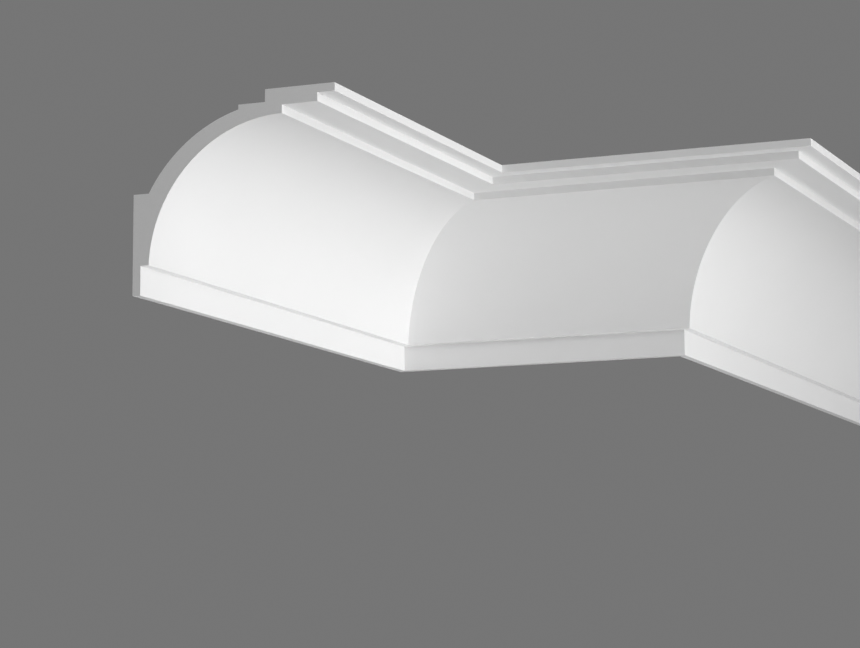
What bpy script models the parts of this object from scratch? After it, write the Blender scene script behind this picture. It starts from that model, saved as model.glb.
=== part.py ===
"""Cove cornice moulding, carried round an inside and an outside corner in three lengths.

Every length has the same section. From the foot up, that is a flat band, a small step out,
a deep cove, and square risers between flat soffits that reach the ceiling. The back is
hollow, between a pad that lies on the wall and a pad that lies on the ceiling.

Sizes are in metres. A point of the section is (projection, level): the distance out from
the wall, and the height above the ceiling, which is negative. A length is modelled along
its own +X, with the wall at y = 0, the room towards -Y and the ceiling at z = 0.
"""

import math

import bmesh
import bpy

# The face, from the foot up to the ceiling.
HEIGHT = 0.150
BAND_HEIGHT = 0.0228
BAND_THICKNESS = 0.0067
FOOT_STEP = 0.0070
COVE_REACH = 0.1117
LOWER_SOFFIT = 0.0293
UPPER_SOFFIT = 0.0143
RISER_HEIGHT = 0.0065

# The hollow back, from the ceiling down.
CEILING_PAD_WIDTH = 0.0577
CEILING_PAD_DEPTH = 0.0098
SHELF_WIDTH = 0.0224
COVE_WALL_AT_CROWN = 0.0098
COVE_WALL_AT_FOOT = 0.0160
HOLLOW_HEIGHT = 0.0720

# The run, measured along the wall from its square left end.
LEFT_LENGTH = 0.505
RETURN_LENGTH = 0.271
RIGHT_LENGTH = 0.650
CORNER_TURN = math.radians(90)
JOINT_GAP = 0.0003

COVE_SEGMENTS = 48
BACK_SEGMENTS = 28
SHARP_ANGLE = math.radians(20)
FREE_END = None

PRIMED_WHITE = (0.87, 0.87, 0.865, 1.0)
PRIMED_ROUGHNESS = 0.55

SOFFITS = (LOWER_SOFFIT, UPPER_SOFFIT)
BAND_TOP = BAND_HEIGHT - HEIGHT
COVE_FOOT = BAND_THICKNESS + FOOT_STEP
COVE_CROWN = COVE_FOOT + COVE_REACH
CROWN_LEVEL = -RISER_HEIGHT * (len(SOFFITS) + 1)
PROJECTION = COVE_CROWN + sum(SOFFITS)
CEILING_PAD_BACK = PROJECTION - CEILING_PAD_WIDTH
WALL_PAD_MIDDLE = -(HEIGHT + HOLLOW_HEIGHT) / 2


def cove_circle():
    """Centre and radius of the cove, which runs level where it meets the lowest riser."""
    rise = CROWN_LEVEL - BAND_TOP
    radius = (COVE_REACH**2 + rise**2) / (2 * rise)
    return (COVE_CROWN, CROWN_LEVEL - radius), radius


def back_circle():
    """The cove's circle grown by its wall, and moved to the wall side for the thicker foot."""
    (across, level), radius = cove_circle()
    shift = COVE_WALL_AT_FOOT - COVE_WALL_AT_CROWN
    return (across - shift, level), radius + COVE_WALL_AT_CROWN


def arc(circle, start, end, segments):
    """Points of the shorter way round a circle, between two points on it and with both."""
    (across, level), radius = circle
    first = math.atan2(start[1] - level, start[0] - across)
    last = math.atan2(end[1] - level, end[0] - across)
    turn = math.remainder(last - first, math.tau)
    points = []
    for step in range(1, segments):
        angle = first + turn * step / segments
        points.append((across + radius * math.cos(angle), level + radius * math.sin(angle)))
    return [start, *points, end]


def face_outline():
    """From the wall at the foot, over band, cove and risers, to the ceiling."""
    band = [(0.0, -HEIGHT), (BAND_THICKNESS, -HEIGHT), (BAND_THICKNESS, BAND_TOP)]
    foot, crown = (COVE_FOOT, BAND_TOP), (COVE_CROWN, CROWN_LEVEL)
    outline = band + arc(cove_circle(), foot, crown, COVE_SEGMENTS)
    projection, level = crown
    for soffit in SOFFITS:
        level += RISER_HEIGHT
        outline.append((projection, level))
        projection += soffit
        outline.append((projection, level))
    return outline + [(PROJECTION, 0.0)]


def back_outline():
    """From the ceiling pad's back edge, down the hollow, to the top of the wall pad."""
    circle = back_circle()
    (across, level), radius = circle
    shelf_back = CEILING_PAD_BACK - SHELF_WIDTH
    crown = (shelf_back, level + math.sqrt(radius**2 - (shelf_back - across) ** 2))
    foot = (across - math.sqrt(radius**2 - (HOLLOW_HEIGHT + level) ** 2), -HOLLOW_HEIGHT)
    pad = [(CEILING_PAD_BACK, 0.0), (CEILING_PAD_BACK, -CEILING_PAD_DEPTH)]
    shelf = [(shelf_back, -CEILING_PAD_DEPTH)]
    return pad + shelf + arc(circle, crown, foot, BACK_SEGMENTS) + [(0.0, -HOLLOW_HEIGHT)]


def primed_foam(name):
    """White primer on rigid polymer foam."""
    material = bpy.data.materials.new(name)
    material.use_nodes = True
    shader = material.node_tree.nodes["Principled BSDF"]
    shader.inputs["Base Color"].default_value = PRIMED_WHITE
    shader.inputs["Roughness"].default_value = PRIMED_ROUGHNESS
    shader.inputs["Metallic"].default_value = 0.0
    return material


def saw_cut(turn):
    """A sawn end's slope over the projection, and how far it stands back for the joint.

    The turn is how far the wall turns there, away from the room: negative at an inside
    corner. A free end is square and stands back from nothing.
    """
    if turn is FREE_END:
        return 0.0, 0.0
    return math.tan(turn / 2), JOINT_GAP / 2 / math.cos(turn / 2)


def moulding_length(name, wall_length, left_turn, right_turn):
    """One solid length: the section extruded along +X and sawn at both ends."""
    left_slope, left_setback = saw_cut(left_turn)
    right_slope, right_setback = saw_cut(right_turn)
    outline = face_outline() + back_outline()

    shape = bmesh.new()
    section = [shape.verts.new((0.0, -projection, level)) for projection, level in outline]
    sides = bmesh.ops.extrude_face_region(
        shape, geom=[shape.faces.new(section)], use_keep_orig=True
    )
    right_verts = {item for item in sides["geom"] if isinstance(item, bmesh.types.BMVert)}
    for vert in shape.verts:
        projection = -vert.co.y
        if vert in right_verts:
            vert.co.x = wall_length + right_slope * projection - right_setback
        else:
            vert.co.x = left_setback - left_slope * projection
    bmesh.ops.recalc_face_normals(shape, faces=shape.faces)

    mesh = bpy.data.meshes.new(name)
    shape.to_mesh(mesh)
    shape.free()
    mesh.shade_smooth()
    mesh.set_sharp_from_angle(angle=SHARP_ANGLE)
    mesh.materials.append(primed_foam(f"{name}_primer"))
    length = bpy.data.objects.new(name, mesh)
    bpy.context.scene.collection.objects.link(length)
    return length


def lay_run():
    """Lays the lengths end to end along the wall, with a mitre wherever the wall turns."""
    run = bpy.data.objects.new("cornice_run", None)
    bpy.context.scene.collection.objects.link(run)
    # The origin is the middle of the left length's wall pad.
    run.location = (-LEFT_LENGTH / 2, 0.0, -WALL_PAD_MIDDLE)

    pieces = (
        ("left_length", LEFT_LENGTH, -CORNER_TURN),
        ("return_length", RETURN_LENGTH, CORNER_TURN),
        ("right_length", RIGHT_LENGTH, FREE_END),
    )
    along, out, heading = 0.0, 0.0, 0.0
    left_turn = FREE_END
    for name, wall_length, right_turn in pieces:
        length = moulding_length(name, wall_length, left_turn, right_turn)
        length.parent = run
        length.location = (along, out, 0.0)
        length.rotation_euler = (0.0, 0.0, heading)
        along += wall_length * math.cos(heading)
        out += wall_length * math.sin(heading)
        heading += right_turn or 0.0
        left_turn = right_turn


for old in list(bpy.data.objects):
    bpy.data.objects.remove(old)
lay_run()
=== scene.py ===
"""Looks of the cove cornice moulding: its finish, the studio light and the camera.

Each packed length is replaced by a finer piece of the same section, with softened arrises
and round curves. All sizes are in metres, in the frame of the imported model: +X along the
left length, its face on the -Y side, +Z up.
"""

import math

import bmesh
import bpy
from mathutils import Matrix, Vector


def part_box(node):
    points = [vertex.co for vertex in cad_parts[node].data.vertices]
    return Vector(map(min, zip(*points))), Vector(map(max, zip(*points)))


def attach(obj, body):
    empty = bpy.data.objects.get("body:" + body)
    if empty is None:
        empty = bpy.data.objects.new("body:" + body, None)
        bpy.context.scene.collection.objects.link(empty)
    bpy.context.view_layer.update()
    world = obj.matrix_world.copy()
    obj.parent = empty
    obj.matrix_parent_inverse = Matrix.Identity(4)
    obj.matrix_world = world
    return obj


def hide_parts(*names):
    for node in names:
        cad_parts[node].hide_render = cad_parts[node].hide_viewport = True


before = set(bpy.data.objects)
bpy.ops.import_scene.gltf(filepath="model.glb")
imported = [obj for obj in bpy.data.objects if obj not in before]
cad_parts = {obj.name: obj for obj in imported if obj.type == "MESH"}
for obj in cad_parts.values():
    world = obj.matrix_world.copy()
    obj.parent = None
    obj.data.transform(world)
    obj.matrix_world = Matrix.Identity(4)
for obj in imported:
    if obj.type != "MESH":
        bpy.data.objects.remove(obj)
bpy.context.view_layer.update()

# The section. A point of it is (projection, level): forward of the flat back, and up from the
# flat top, so that every level is zero or less.
BAND_HEIGHT = 0.0228
BAND_THICKNESS = 0.0067
FOOT_STEP = 0.0070
SOFFITS = (0.0293, 0.0143)
RISER_HEIGHT = 0.0065
CEILING_PAD_WIDTH = 0.0577
CEILING_PAD_DEPTH = 0.0098
SHELF_WIDTH = 0.0224
COVE_WALL_AT_CROWN = 0.0098
COVE_WALL_AT_FOOT = 0.0160
HOLLOW_HEIGHT = 0.0720

# How far the run turns at a mitre. An end that is sawn square has no turn.
CORNER_TURN = math.radians(90)
FREE_END = None

# How finely the pieces are made. A corner sharper than SHARP_CORNER is rounded.
ARRIS_RADIUS = 0.00025
ARRIS_SEGMENTS = 4
COVE_SEGMENTS = 120
BACK_SEGMENTS = 64
STATION_SPACING = 0.025
SHARP_CORNER = math.radians(15)
CREASE = math.radians(35)

# The finishes, in the order of a piece's material slots.
PRIMER, RAW_BACK, SAWN_END = range(3)

# Each finish's colour and roughness, from the lowest value of its pattern to the highest.
PRIMER_COLOURS = ((0.79, 0.79, 0.79), (0.815, 0.815, 0.815))
PRIMER_ROUGHNESS = (0.68, 0.78)
RAW_BACK_COLOURS = ((0.74, 0.74, 0.735), (0.79, 0.79, 0.785))
RAW_BACK_ROUGHNESS = (0.68, 0.80)
SAWN_END_COLOURS = ((0.89, 0.89, 0.89), (0.83, 0.83, 0.83))
SAWN_END_ROUGHNESS = (0.72, 0.86)

# The patterns. A scale is about how many repeats a metre holds, and a stretch draws a pattern
# out along the run or down the cut.
NOISE = "ShaderNodeTexNoise"
CELLS = "ShaderNodeTexVoronoi"
ALONG_THE_RUN = (0.01, 1.0, 1.0)
DOWN_THE_CUT = (1.0, 1.0, 0.03)
PRIMER_CLOUD_SCALE = 9.0
PRIMER_LINE_SCALE, PRIMER_LINE_DEPTH = 700.0, 0.000012
PRIMER_PEEL_SCALE, PRIMER_PEEL_DEPTH = 900.0, 0.00002
RAW_BACK_CLOUD_SCALE = 14.0
RAW_BACK_GRAIN_SCALE, RAW_BACK_GRAIN_DEPTH = 1600.0, 0.00004
SAW_STROKE_SCALE, SAW_STROKE_DEPTH = 500.0, 0.00003
FOAM_CELL_SCALE, FOAM_CELL_DEPTH = 2600.0, 0.00006

# The camera stands low at the left and looks up along the run. Its reach takes in the floor's
# far edge. The sensor and the lens are in millimetres.
CAMERA_PLACE = (-2.0414, -1.0095, -0.3560)
CAMERA_YAW = math.radians(23.13)
CAMERA_PITCH = math.radians(8.22)
CAMERA_ROLL = math.radians(-0.16)
CAMERA_REACH = 200.0
SENSOR_WIDTH = 36.0
LENS = 114.03

# The floor and the surround.
FLOOR_LEVEL = -3.0
FLOOR_RADIUS = 60.0
FLOOR_SEGMENTS = 128
FLOOR_GREY = (0.35, 0.35, 0.35, 1.0)
FLOOR_ROUGHNESS = 0.9
SURROUND_GREY = (0.18, 0.18, 0.18, 1.0)

# The lamps. A power is in watts, and the overhead light's strength in watts per square metre.
# The wide lamps are aimed at the run beside its inside corner, the small one at the left length.
OVERHEAD_STRENGTH = 2.7
OVERHEAD_SOFTNESS = math.radians(30)
OVERHEAD_ELEVATION = math.radians(50)
OVERHEAD_AZIMUTH = math.radians(150)
CORNER_AIM = (0.1, -0.15, 0.03)
LEFT_AIM = (0.0, -0.08, -0.02)
WIDE_LAMP = 1.5
SMALL_LAMP = 0.5
SMALL_LAMP_BEAM = math.radians(35)
FRONT_PLACE, FRONT_POWER = (-0.16, -3.14, 0.03), 33.6
HIGH_LEFT_PLACE, HIGH_LEFT_POWER = (-1.89, -2.14, 1.06), 20.5
BELOW_PLACE, BELOW_POWER = (-0.16, -1.63, -2.57), 29.3
LOW_LEFT_PLACE, LOW_LEFT_POWER = (-0.95, -1.73, -1.12), 0.63

# The run's own places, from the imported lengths.
left_low, left_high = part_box("left_length")
return_low, return_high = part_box("return_length")
right_low, right_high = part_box("right_length")
HEIGHT = left_high.z - left_low.z
PROJECTION = left_high.y - left_low.y
CEILING = left_high.z
LEFT_END = left_low.x
CORNER = return_high.x
WALL = left_high.y
FORWARD_WALL = right_high.y
RIGHT_END = right_high.x

COVE_FOOT = BAND_THICKNESS + FOOT_STEP
COVE_CROWN = PROJECTION - sum(SOFFITS)
BAND_TOP = BAND_HEIGHT - HEIGHT
CROWN_LEVEL = -RISER_HEIGHT * (len(SOFFITS) + 1)


def cove_circle():
    """Centre and radius of the cove, which runs level where it meets the lowest riser."""
    reach = COVE_CROWN - COVE_FOOT
    rise = CROWN_LEVEL - BAND_TOP
    radius = (reach**2 + rise**2) / (2 * rise)
    return (COVE_CROWN, CROWN_LEVEL - radius), radius


def back_circle():
    """The cove's circle, grown by its thickness and moved back for the thicker foot."""
    (across, level), radius = cove_circle()
    shift = COVE_WALL_AT_FOOT - COVE_WALL_AT_CROWN
    return (across - shift, level), radius + COVE_WALL_AT_CROWN


def arc(circle, start, end, segments):
    """Points of the shorter way round a circle, between two points on it and with both."""
    (across, level), radius = circle
    first = math.atan2(start[1] - level, start[0] - across)
    last = math.atan2(end[1] - level, end[0] - across)
    turn = math.remainder(last - first, math.tau)
    points = []
    for step in range(1, segments):
        angle = first + turn * step / segments
        points.append((across + radius * math.cos(angle), level + radius * math.sin(angle)))
    return [start, *points, end]


def face_outline():
    """From the back of the foot, over band, cove and risers, to the flat top."""
    band = [(0.0, -HEIGHT), (BAND_THICKNESS, -HEIGHT), (BAND_THICKNESS, BAND_TOP)]
    foot, crown = (COVE_FOOT, BAND_TOP), (COVE_CROWN, CROWN_LEVEL)
    outline = band + arc(cove_circle(), foot, crown, COVE_SEGMENTS)
    projection, level = crown
    for soffit in SOFFITS:
        level += RISER_HEIGHT
        outline.append((projection, level))
        projection += soffit
        outline.append((projection, level))
    return outline


def back_outline():
    """From the front edge of the top, over its pad and down the hollow, to the wall pad."""
    circle = back_circle()
    (across, level), radius = circle
    pad_back = PROJECTION - CEILING_PAD_WIDTH
    shelf_back = pad_back - SHELF_WIDTH
    crown = (shelf_back, level + math.sqrt(radius**2 - (shelf_back - across) ** 2))
    foot = (across - math.sqrt(radius**2 - (HOLLOW_HEIGHT + level) ** 2), -HOLLOW_HEIGHT)
    pad = [(PROJECTION, 0.0), (pad_back, 0.0), (pad_back, -CEILING_PAD_DEPTH)]
    shelf = [(shelf_back, -CEILING_PAD_DEPTH)]
    return pad + shelf + arc(circle, crown, foot, BACK_SEGMENTS) + [(0.0, -HOLLOW_HEIGHT)]


def softened(outline):
    """The closed outline with its sharp corners rounded.

    A finish belongs to the side that starts at its point, and a rounded arris takes the
    primer where either side has it.
    """
    soft = []
    for index, (corner, finish) in enumerate(outline):
        before, finish_before = outline[index - 1]
        after, _ = outline[(index + 1) % len(outline)]
        corner, before, after = Vector(corner), Vector(before), Vector(after)
        arriving, leaving = (corner - before).normalized(), (after - corner).normalized()
        turn = arriving.angle_signed(leaving)
        if abs(turn) < SHARP_CORNER:
            soft.append((corner, finish))
            continue
        room = min((corner - before).length, (after - corner).length) / 2
        cut_back = min(ARRIS_RADIUS * math.tan(abs(turn) / 2), room)
        start, end = corner - arriving * cut_back, corner + leaving * cut_back
        for step in range(ARRIS_SEGMENTS + 1):
            share = step / ARRIS_SEGMENTS
            bend = start.lerp(corner, share).lerp(corner.lerp(end, share), share)
            rounded_finish = min(finish_before, finish) if step < ARRIS_SEGMENTS else finish
            soft.append((bend, rounded_finish))
    return soft


def saw_slope(turn):
    """How far a sawn end moves along the run for each metre of projection."""
    return 0.0 if turn is FREE_END else math.tan(turn / 2)


def moulding_piece(name, wall_length, left_turn, right_turn, finishes):
    """One length of the moulding, along its own +X, with its ends sawn square or mitred."""
    outline = [(point, PRIMER) for point in face_outline()]
    outline += [(point, RAW_BACK) for point in back_outline()]
    outline = softened(outline)
    left_slope, right_slope = saw_slope(left_turn), saw_slope(right_turn)
    stations = math.ceil(wall_length / STATION_SPACING)

    shape = bmesh.new()
    rings = []
    for station in range(stations + 1):
        share = station / stations
        ring = []
        for (projection, level), _ in outline:
            left = -left_slope * projection
            right = wall_length + right_slope * projection
            ring.append(shape.verts.new((left + (right - left) * share, -projection, level)))
        rings.append(ring)
    for near, far in zip(rings, rings[1:]):
        for side, (_, finish) in enumerate(outline):
            following = (side + 1) % len(outline)
            face = shape.faces.new((near[side], near[following], far[following], far[side]))
            face.material_index = finish
            face.smooth = True
    for end in (rings[0], rings[-1]):
        shape.faces.new(end).material_index = SAWN_END
    bmesh.ops.recalc_face_normals(shape, faces=shape.faces)

    mesh = bpy.data.meshes.new(name)
    shape.to_mesh(mesh)
    shape.free()
    mesh.set_sharp_from_angle(angle=CREASE)
    for material in finishes:
        mesh.materials.append(material)
    piece = bpy.data.objects.new(name, mesh)
    bpy.context.scene.collection.objects.link(piece)
    # The wide flat sides keep flat shading beside their small rounded arrises.
    shading = piece.modifiers.new("even_shading", "WEIGHTED_NORMAL")
    shading.keep_sharp = True
    return piece


def new_material(name):
    """A node material, with its node tree and its Principled shader."""
    material = bpy.data.materials.new(name)
    material.use_nodes = True
    return material, material.node_tree, material.node_tree.nodes["Principled BSDF"]


def pattern(tree, kind, scale, stretch=(1.0, 1.0, 1.0), **settings):
    """A noise or cell texture in the piece's own metres, x along the run."""
    place = tree.nodes.new("ShaderNodeTexCoord")
    stretched = tree.nodes.new("ShaderNodeMapping")
    stretched.inputs["Scale"].default_value = stretch
    texture = tree.nodes.new(kind)
    texture.inputs["Scale"].default_value = scale
    for socket, value in settings.items():
        texture.inputs[socket].default_value = value
    tree.links.new(place.outputs["Object"], stretched.inputs["Vector"])
    tree.links.new(stretched.outputs["Vector"], texture.inputs["Vector"])
    return texture


def spread(tree, source, low, high):
    """A texture's 0 to 1 as a range of one of the shader's values."""
    span = tree.nodes.new("ShaderNodeMapRange")
    span.inputs["To Min"].default_value = low
    span.inputs["To Max"].default_value = high
    tree.links.new(source, span.inputs["Value"])
    return span.outputs["Result"]


def tinted(tree, source, at_zero, at_one):
    """A texture's 0 to 1 as a blend of two colours."""
    blend = tree.nodes.new("ShaderNodeMix")
    blend.data_type = "RGBA"
    blend.inputs["A"].default_value = (*at_zero, 1.0)
    blend.inputs["B"].default_value = (*at_one, 1.0)
    tree.links.new(source, blend.inputs["Factor"])
    return blend.outputs["Result"]


def relief(tree, source, depth, under=None):
    """A bump as deep as stated, on top of another one."""
    bump = tree.nodes.new("ShaderNodeBump")
    bump.inputs["Distance"].default_value = depth
    tree.links.new(source, bump.inputs["Height"])
    if under is not None:
        tree.links.new(under, bump.inputs["Normal"])
    return bump.outputs["Normal"]


def primer_finish():
    """Matt white primer: a fine sprayed skin over faint lines along the run."""
    material, tree, shader = new_material("primer")
    clouds = pattern(tree, NOISE, PRIMER_CLOUD_SCALE, Detail=3.0)
    peel = pattern(tree, NOISE, PRIMER_PEEL_SCALE, Detail=2.0)
    lines = pattern(tree, NOISE, PRIMER_LINE_SCALE, stretch=ALONG_THE_RUN, Detail=1.0)
    lit = tinted(tree, clouds.outputs["Fac"], *PRIMER_COLOURS)
    rough = spread(tree, clouds.outputs["Fac"], *PRIMER_ROUGHNESS)
    drawn = relief(tree, lines.outputs["Fac"], PRIMER_LINE_DEPTH)
    sprayed = relief(tree, peel.outputs["Fac"], PRIMER_PEEL_DEPTH, under=drawn)
    tree.links.new(lit, shader.inputs["Base Color"])
    tree.links.new(rough, shader.inputs["Roughness"])
    tree.links.new(sprayed, shader.inputs["Normal"])
    return material


def raw_back_finish():
    """Unprimed foam as it left the mould: a duller white with a fine grain."""
    material, tree, shader = new_material("raw_back")
    clouds = pattern(tree, NOISE, RAW_BACK_CLOUD_SCALE, Detail=4.0)
    grain = pattern(tree, NOISE, RAW_BACK_GRAIN_SCALE, Detail=2.0)
    lit = tinted(tree, clouds.outputs["Fac"], *RAW_BACK_COLOURS)
    rough = spread(tree, clouds.outputs["Fac"], *RAW_BACK_ROUGHNESS)
    grained = relief(tree, grain.outputs["Fac"], RAW_BACK_GRAIN_DEPTH)
    tree.links.new(lit, shader.inputs["Base Color"])
    tree.links.new(rough, shader.inputs["Roughness"])
    tree.links.new(grained, shader.inputs["Normal"])
    return material


def sawn_end_finish():
    """The foam laid open by the saw: small closed cells and faint strokes of the blade."""
    material, tree, shader = new_material("sawn_end")
    cells = pattern(tree, CELLS, FOAM_CELL_SCALE)
    strokes = pattern(tree, NOISE, SAW_STROKE_SCALE, stretch=DOWN_THE_CUT, Detail=2.0)
    lit = tinted(tree, cells.outputs["Distance"], *SAWN_END_COLOURS)
    rough = spread(tree, strokes.outputs["Fac"], *SAWN_END_ROUGHNESS)
    sawn = relief(tree, strokes.outputs["Fac"], SAW_STROKE_DEPTH)
    opened = relief(tree, cells.outputs["Distance"], FOAM_CELL_DEPTH, under=sawn)
    tree.links.new(lit, shader.inputs["Base Color"])
    tree.links.new(rough, shader.inputs["Roughness"])
    tree.links.new(opened, shader.inputs["Normal"])
    return material


def make_camera():
    """The scene's camera, with its yaw from +X and its pitch up from level."""
    camera = bpy.data.objects.new("camera", bpy.data.cameras.new("camera"))
    camera.data.sensor_width = SENSOR_WIDTH
    camera.data.lens = LENS
    camera.data.clip_end = CAMERA_REACH
    heading = Matrix.Rotation(CAMERA_YAW - math.pi / 2, 4, "Z")
    tilt = Matrix.Rotation(math.pi / 2 + CAMERA_PITCH, 4, "X")
    roll = Matrix.Rotation(CAMERA_ROLL, 4, "Z")
    camera.matrix_world = Matrix.Translation(CAMERA_PLACE) @ heading @ tilt @ roll
    bpy.context.scene.collection.objects.link(camera)
    bpy.context.scene.camera = camera


def make_surround():
    """A plain dim grey all round, and tones shown as they are, with no film curve."""
    world = bpy.data.worlds.new("surround")
    world.use_nodes = True
    world.node_tree.nodes["Background"].inputs["Color"].default_value = SURROUND_GREY
    bpy.context.scene.world = world
    bpy.context.scene.view_settings.view_transform = "Standard"


def make_floor():
    """A plain pale floor far below."""
    material, _, shader = new_material("pale_floor")
    shader.inputs["Base Color"].default_value = FLOOR_GREY
    shader.inputs["Roughness"].default_value = FLOOR_ROUGHNESS
    mesh = bpy.data.meshes.new("floor")
    disc = bmesh.new()
    bmesh.ops.create_circle(disc, cap_ends=True, radius=FLOOR_RADIUS, segments=FLOOR_SEGMENTS)
    disc.to_mesh(mesh)
    disc.free()
    mesh.materials.append(material)
    floor = bpy.data.objects.new("floor", mesh)
    floor.location.z = FLOOR_LEVEL
    # The floor only shows: it throws no light back up onto the soffits.
    floor.visible_diffuse = False
    bpy.context.scene.collection.objects.link(floor)


def overhead_light():
    """Even, soft light from high behind, for the floor and the moulding's back and top."""
    lamp = bpy.data.lights.new("overhead", "SUN")
    lamp.energy = OVERHEAD_STRENGTH
    lamp.angle = OVERHEAD_SOFTNESS
    light = bpy.data.objects.new("overhead", lamp)
    light.rotation_euler = (math.pi / 2 - OVERHEAD_ELEVATION, 0.0, OVERHEAD_AZIMUTH)
    bpy.context.scene.collection.objects.link(light)


def softbox(name, place, aim, width, power, beam=math.pi):
    """A square area light; a narrow beam fades towards its sides."""
    lamp = bpy.data.lights.new(name, "AREA")
    lamp.size = width
    lamp.energy = power
    lamp.spread = beam
    light = bpy.data.objects.new(name, lamp)
    light.location = place
    light.rotation_euler = (Vector(aim) - Vector(place)).to_track_quat("-Z", "Y").to_euler()
    bpy.context.scene.collection.objects.link(light)


def make_lamps():
    """Soft light from high behind, and from the front, the left and below."""
    overhead_light()
    softbox("front", FRONT_PLACE, CORNER_AIM, WIDE_LAMP, FRONT_POWER)
    softbox("high_left", HIGH_LEFT_PLACE, CORNER_AIM, WIDE_LAMP, HIGH_LEFT_POWER)
    softbox("below", BELOW_PLACE, CORNER_AIM, WIDE_LAMP, BELOW_POWER)
    softbox("low_left", LOW_LEFT_PLACE, LEFT_AIM, SMALL_LAMP, LOW_LEFT_POWER, SMALL_LAMP_BEAM)


def dress_run():
    """A finer piece over each packed length, laid end to end from the left."""
    finishes = (primer_finish(), raw_back_finish(), sawn_end_finish())
    runs = (
        ("left_length", CORNER - LEFT_END, -CORNER_TURN),
        ("return_length", WALL - FORWARD_WALL, CORNER_TURN),
        ("right_length", RIGHT_END - CORNER, FREE_END),
    )
    along, out, heading = LEFT_END, WALL, 0.0
    left_turn = FREE_END
    for node, wall_length, right_turn in runs:
        name = node.replace("length", "moulding")
        piece = moulding_piece(name, wall_length, left_turn, right_turn, finishes)
        piece.location = (along, out, CEILING)
        piece.rotation_euler = (0.0, 0.0, heading)
        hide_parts(node)
        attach(piece, "root")
        along += wall_length * math.cos(heading)
        out += wall_length * math.sin(heading)
        heading += right_turn or 0.0
        left_turn = right_turn


make_camera()
make_surround()
make_floor()
make_lamps()
dress_run()
